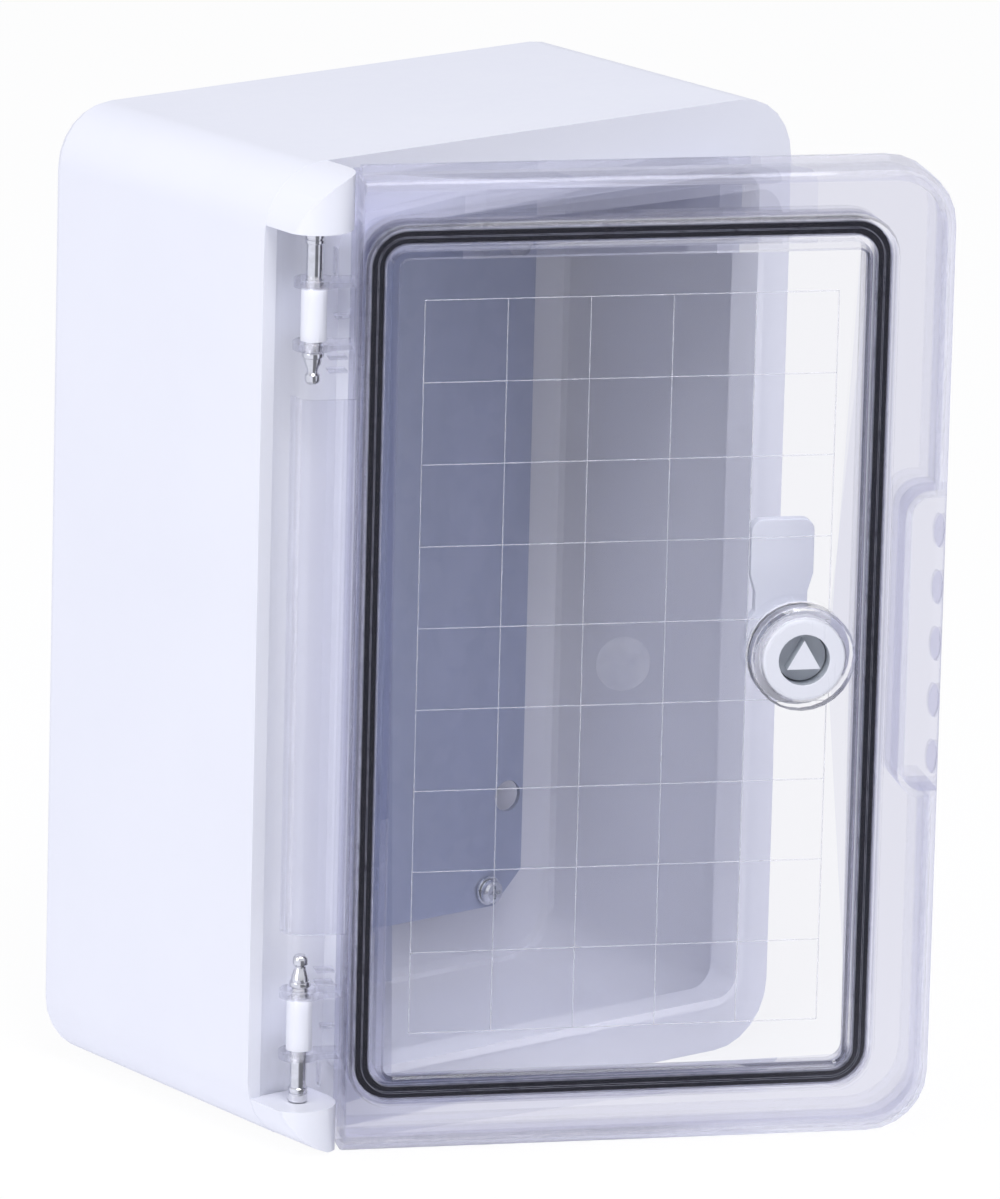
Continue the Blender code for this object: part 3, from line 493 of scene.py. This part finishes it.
def pane_grid(finish):
    """Fine raised lines on the back of the pane, in 25 mm squares."""
    def build(tree, size):
        width = number(tree, "MULTIPLY", size["Pitch"], size["Columns"])
        height = number(tree, "MULTIPLY", size["Pitch"], size["Rows"])
        left = number(tree, "MULTIPLY", width, -0.5)
        right = number(tree, "MULTIPLY", width, 0.5)
        low = number(tree, "MULTIPLY", height, -0.5)
        high = number(tree, "MULTIPLY", height, 0.5)
        uprights = row_of(
            tree, bar(tree, vector(tree, z=low), vector(tree, z=high)),
            number(tree, "ADD", size["Columns"], 1.0), vector(tree, x=left),
            vector(tree, x=size["Pitch"]),
        )
        levels = row_of(
            tree, bar(tree, vector(tree, x=left), vector(tree, x=right)),
            number(tree, "ADD", size["Rows"], 1.0), vector(tree, z=low),
            vector(tree, z=size["Pitch"]),
        )
        lines = add(tree, "GeometryNodeRealizeInstances", {"Geometry": joined(tree, uprights, levels)})
        return round_rod(tree, lines.outputs[0], size["Line radius"], 6)
    return grown("pane_grid", {
        "Columns": 5, "Rows": 9, "Pitch": 25 * MM, "Line radius": 0.16 * MM,
    }, build, finish)


def turned(name, outline, centre, along="Z", sides=32, angle=28):
    """A closed solid turned about an axis, from distances along it and radii in millimetres."""
    work = bmesh.new()
    rings = []
    for distance, radius in outline:
        ring = []
        for i in range(sides if radius else 1):
            across = radius * MM * math.cos(math.tau * i / sides)
            over = radius * MM * math.sin(math.tau * i / sides)
            if along == "Z":
                offset = Vector((across, over, distance * MM))
            else:
                offset = Vector((across, distance * MM, over))
            ring.append(work.verts.new(Vector(centre) + offset))
        rings.append(ring)
    for lower, upper in zip(rings, rings[1:]):
        for i in range(sides):
            corners = [lower[i % len(lower)], lower[(i + 1) % len(lower)],
                       upper[(i + 1) % len(upper)], upper[i % len(upper)]]
            work.faces.new(list(dict.fromkeys(corners)))
    bmesh.ops.recalc_face_normals(work, faces=work.faces)
    mesh = bpy.data.meshes.new(name)
    work.to_mesh(mesh)
    work.free()
    shade(mesh, math.radians(angle))
    return mesh


def hinge_pin_turned(node, way):
    """A nickel pin: a grooved head, a plain shank and a flared snap end with a button."""
    low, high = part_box(node)
    centre = (low + high) / 2
    length = (high.z - low.z) / MM
    head = ((0.0, 0.0), (0.0, 2.7), (0.3, 2.95), (2.6, 2.95), (2.8, 2.6), (3.1, 2.6),
            (3.3, 2.95), (4.2, 2.95), (4.4, 2.8), (4.5, 2.5))
    # The snap end, as distance from the tip.
    snap = ((10.2, 2.5), (10.0, 2.7), (9.6, 3.2), (8.9, 3.3), (8.2, 3.15), (7.9, 2.75),
            (7.5, 2.7), (6.4, 2.55), (5.0, 2.05), (4.3, 1.75), (3.5, 1.7), (3.1, 2.0),
            (2.8, 2.3), (1.5, 2.35), (0.8, 2.2), (0.3, 1.9), (0.0, 1.5), (0.0, 0.0))
    outline = [*head, *((length - distance, radius) for distance, radius in snap)]
    start = high.z if way < 0 else low.z
    outline = [(way * distance, radius) for distance, radius in outline]
    return turned(node, outline, (centre.x, centre.y, start))


def slabs(name, boxes):
    """Several blocks with rounded edges, each given by two corners."""
    work = bmesh.new()
    for low, high in boxes:
        size = Vector(high) - Vector(low)
        middle = (Vector(high) + Vector(low)) / 2
        place_and_size = Matrix.Translation(middle) @ Matrix.Diagonal((*size, 1))
        bmesh.ops.create_cube(work, size=1, matrix=place_and_size)
    bmesh.ops.bevel(work, geom=list(work.edges), offset=0.2 * MM, segments=2, profile=0.5,
                    affect="EDGES")
    bmesh.ops.recalc_face_normals(work, faces=work.faces)
    mesh = bpy.data.meshes.new(name)
    work.to_mesh(mesh)
    work.free()
    shade(mesh)
    return mesh


def hinge_ribs(edge):
    """Thin clear ribs between the door's edge and the hinge axis, beside each knuckle and pin."""
    boxes = []

    def rib(near_axis, front, back, low, high, far=edge):
        """One rib from a distance off the axis, in millimetres, between two heights."""
        boxes.append((
            (HINGE.x + near_axis * MM, HINGE.y + front * MM, low),
            (far, HINGE.y + back * MM, high),
        ))

    for node, way in (("hinge_pin_upper", -1), ("hinge_pin_lower", 1)):
        low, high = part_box(node)
        head, tip = (high.z, low.z) if way < 0 else (low.z, high.z)
        ear = tip - way * EAR_BEHIND_TIP
        knuckle_middle = ear - way * KNUCKLE_BEHIND_EAR
        for past in (2.2 * MM, 6.2 * MM):
            level = ear + way * past
            rib(4.2, -4.5, 1.5, level - 0.35 * MM, level + 0.35 * MM)
        rib(5.6, -5.0, -1.8, knuckle_middle - 0.6 * MM, knuckle_middle + 0.6 * MM)
        near, far = sorted((head + way * 5.5 * MM, knuckle_middle - way * 12.0 * MM))
        rib(5.4, -4.0, 0.0, near, far, HINGE.x + 6.3 * MM)
    return to_door(slabs("hinge_ribs", boxes))


def gate_mark():
    """The moulding gate's round mark on the back of the pane: a shallow disc with a small ring."""
    outline = ((0.0, 0.0), (0.0, 1.2), (0.1, 1.3), (0.34, 1.4), (0.34, 1.9), (0.1, 2.0),
               (0.08, 7.6), (0.3, 7.8), (0.3, 8.1), (0.0, 8.3), (-0.02, 8.3), (-0.02, 0.0))
    return turned("gate_mark", outline, (0, 0, 0), along="Y", sides=48)


def seal_glint_lines(finish, width, height, corner):
    """Thin whitish beads beside the seal and along its middle: painted highlights where the seal's channel
    catches light.
    """
    def build(tree, size):
        loops = []
        for way, share in ((-1.0, 1.0), (1.0, 1.0), (0.0, 0.5)):
            grow = number(tree, "MULTIPLY", size["Seal width"], way)
            path = rounded_path(
                tree, number(tree, "ADD", size["Width"], grow), number(tree, "ADD", size["Height"], grow),
                number(tree, "ADD", size["Corner"], number(tree, "MULTIPLY", grow, 0.5)), 14,
            )
            loops.append(round_rod(tree, path, number(tree, "MULTIPLY", size["Bead radius"], share), 8))
        return joined(tree, *loops)
    return grown("seal_glint_lines", {
        "Width": width, "Height": height, "Corner": corner,
        "Seal width": 4.5 * MM, "Bead radius": 0.18 * MM,
    }, build, finish)


def grip_teeth(finish, count, pitch):
    """A row of small rounded teeth along the finger grip's outer lip."""
    def build(tree, size):
        tooth = add(tree, "GeometryNodeMeshCylinder", {
            "Vertices": 24, "Radius": size["Tooth radius"], "Depth": size["Tooth depth"],
        })
        turned_tooth = moved(tree, tooth.outputs["Mesh"], rotation=(math.pi / 2, 0, 0), scale=(0.32, 1, 1))
        start = number(tree, "MULTIPLY", number(tree, "SUBTRACT", size["Count"], 1.0),
                       number(tree, "MULTIPLY", size["Pitch"], -0.5))
        return row_of(tree, turned_tooth, size["Count"], vector(tree, z=start), vector(tree, z=size["Pitch"]))
    mesh = grown("grip_teeth", {
        "Count": count, "Pitch": pitch, "Tooth radius": 5.2 * MM, "Tooth depth": 1.3 * MM,
    }, build, finish)
    shade(mesh)
    return mesh


# ---- studio ----

def studio():
    scene = bpy.context.scene
    scene.view_settings.view_transform = "Standard"
    scene.view_settings.look = "None"
    world = bpy.data.worlds.new("studio")
    scene.world = world
    world.use_nodes = True
    tree = world.node_tree
    tree.nodes.clear()
    path = add(tree, "ShaderNodeLightPath")
    seen = number(tree, "MAXIMUM", path.outputs["Is Camera Ray"], path.outputs["Is Transmission Ray"])
    strength = add(tree, "ShaderNodeMapRange", {
        "Value": path.outputs["Is Glossy Ray"], "To Min": 0.57, "To Max": 0.80,
    }).outputs[0]
    surroundings = add(tree, "ShaderNodeBackground", {"Color": (0.91, 0.925, 1.0, 1), "Strength": strength})
    backdrop = add(tree, "ShaderNodeBackground", {"Color": (1, 1, 1, 1), "Strength": 1.0})
    sky = add(tree, "ShaderNodeMixShader", {0: seen})
    tree.links.new(surroundings.outputs[0], sky.inputs[1])
    tree.links.new(backdrop.outputs[0], sky.inputs[2])
    add(tree, "ShaderNodeOutputWorld", {"Surface": sky.outputs[0]})

    def soft_lamp(name, place_, aim, size, power):
        lamp = bpy.data.lights.new(name, "AREA")
        lamp.shape = "RECTANGLE"
        lamp.size, lamp.size_y = size
        lamp.energy = power
        holder = bpy.data.objects.new(name, lamp)
        holder.location = place_
        holder.rotation_euler = (Vector(aim) - Vector(place_)).to_track_quat("-Z", "Y").to_euler()
        scene.collection.objects.link(holder)

    soft_lamp("left_bank", (-2.4, -0.2, 0.9), (0, 0, 0), (1.6, 2.2), 17)
    soft_lamp("front_key", (-0.5, -1.1, 2.0), (0, -0.1, 0), (1.2, 0.9), 26)

    low = cad_box[0].z
    bpy.ops.mesh.primitive_grid_add(x_subdivisions=8, y_subdivisions=8, size=30, location=(0, 0, low))
    floor = bpy.context.object
    floor.name = "floor"
    floor.data.materials.append(pale_floor("floor_white"))


# ---- making ----

def main():
    case_camera()
    studio()
    white = moulded_abs("abs_white", (0.80, 0.81, 0.885), (0.78, 0.79, 0.87))
    lock_white = moulded_abs("lock_white", (0.73, 0.74, 0.80), (0.70, 0.71, 0.78), 0.3)
    # Painted shade: a darker grey standing in for the shade inside the lock's recess.
    recess_shade_grey = moulded_abs("recess_shade_grey", (0.52, 0.55, 0.60), (0.42, 0.45, 0.50), 0.34)
    cam_white = moulded_abs("cam_white", (0.76, 0.78, 0.85), (0.72, 0.74, 0.82), 0.4)
    plug_white = moulded_abs("plug_white", (0.75, 0.76, 0.78), (0.72, 0.73, 0.76), 0.42)
    clear = clear_polycarbonate("door_clear", (0.945, 0.945, 0.975))
    border_clear = clear_polycarbonate("border_clear", (0.82, 0.82, 0.89), thin=0.5, veil=(0.87, 0.87, 0.93))
    hinge_clear = clear_polycarbonate("hinge_clear", (0.92, 0.92, 0.95), thin=0.6, veil=(0.955, 0.955, 0.975))
    # Painted highlights: the grid lines, the gate mark and the seal beads take a whitish line finish for the
    # light they catch.
    line_glint = raised_line_glint("grid_line_glints")
    mark_glint = raised_line_glint("gate_mark", 0.03, 0.10)
    bead_glint = raised_line_glint("seal_bead_glints", 0.45, 0.8)
    rubber = seal_rubber("seal_rubber")
    ring_rubber = seal_rubber("ring_rubber", (0.02, 0.02, 0.022))
    nickel = bright_metal("pin_nickel", (0.80, 0.80, 0.83), 0.13, (1, 1, 6))
    zinc = bright_metal("screw_zinc", (0.74, 0.76, 0.82), 0.24)
    brass = bright_metal("insert_brass", (0.72, 0.53, 0.25), 0.3)
    sheet = galvanised_sheet("plate_zinc")

    as_piece("case", eased("body_shell", 0.5 * MM), white, "enclosure", "body_white", "body_shell")
    as_piece("mounting_sheet", eased("mounting_plate", 0.2 * MM), sheet,
             "enclosure", "plate_zinc", "mounting_plate")
    seal_low, seal_high = closed_box("door_gasket")
    middle = (seal_low + seal_high) / 2
    half_width = (seal_high.x - seal_low.x) / 2
    half_height = (seal_high.z - seal_low.z) / 2
    door = as_piece("clear_door", eased("door_panel", 0.3 * MM), clear, "door", "door_clear", "door_panel")
    second_finish(door, border_clear, lambda at: (
        abs(at.x - middle.x) > half_width - PANE_MARGIN
        or abs(at.z - middle.z) > half_height - PANE_MARGIN
    ))
    second_finish(door, hinge_clear, lambda at: at.x < seal_low.x - HINGE_STRIP_START)
    as_piece("seal", eased("door_gasket", 0.4 * MM), rubber, "door", "seal_rubber", "door_gasket")
    for side, way in (("upper", -1), ("lower", 1)):
        node = "hinge_pin_" + side
        as_piece("turned_pin_" + side, hinge_pin_turned(node, way), nickel, "enclosure", "pin_nickel", node)
    for node, finish, body, slot in (
        ("lock_body", lock_white, "door", "lock_white"),
        ("lock_nut", lock_white, "door", "lock_white"),
        ("lock_rotor", lock_white, "lock", "lock_white"),
        ("lock_cam", cam_white, "lock", "cam_white"),
    ):
        piece = as_piece(node + "_finished", eased(node, 0.25 * MM), finish, body, slot, node)
        low, high = closed_box(node)
        axis = (low + high) / 2
        if node == "lock_rotor":
            # Painted shade: the rotor's set-back faces take the darker recess grey.
            second_finish(piece, recess_shade_grey, lambda at: at.y > low.y + 0.6 * MM)
        if node == "lock_body":
            # Painted shade: the lock body's faces inside the recess take the darker recess grey.
            second_finish(piece, recess_shade_grey, lambda at: (
                math.hypot(at.x - axis.x, at.z - axis.z) < RECESS_RADIUS
                and at.y > low.y + 0.5 * MM
            ))

    # Painted highlight: the pane grid and the gate mark wear the whitish line finish.
    grid = to_door(pane_grid(line_glint), middle.x, seal_low.y - 1.2 * MM, middle.z)
    as_piece("pane_grid", grid, line_glint, "door", "door_clear")
    mark = to_door(gate_mark(), middle.x, seal_low.y - 1.45 * MM, middle.z)
    as_piece("gate_mark", mark, mark_glint, "door", "door_clear")
    # Painted highlights: whitish beads along the seal's channel stand in for the light its edges catch.
    glint_beads = to_door(
        seal_glint_lines(bead_glint, 2 * half_width - SEAL_WIDTH, 2 * half_height - SEAL_WIDTH, 9 * MM),
        middle.x, seal_low.y - 0.15 * MM, middle.z,
    )
    as_piece("seal_glint_lines", glint_beads, bead_glint, "door", "door_clear")
    ribs = hinge_ribs(seal_low.x - 5.6 * MM)
    as_piece("hinge_ribs", ribs, hinge_clear, "door", "door_clear")
    door_high = closed_box("door_panel")[1]
    teeth = to_door(
        grip_teeth(border_clear, 5, 17.5 * MM),
        door_high.x - 2.4 * MM, door_high.y - 15.9 * MM, GRIP_MIDDLE,
    )
    as_piece("grip_teeth", teeth, border_clear, "door", "door_clear")

    for node, piece in frame["nodes"].items():
        finish = next((f for start, f in (
            ("plate_screw", zinc), ("plate_washer", zinc), ("threaded_insert", brass),
            ("cam_screw", zinc), ("cam_washer", zinc), ("wall_plug", plug_white),
            ("lock_seal_ring", ring_rubber), ("rotor_o_ring", ring_rubber),
        ) if node.startswith(start)), None)
        if finish:
            piece.data.materials.clear()
            piece.data.materials.append(finish)


main()
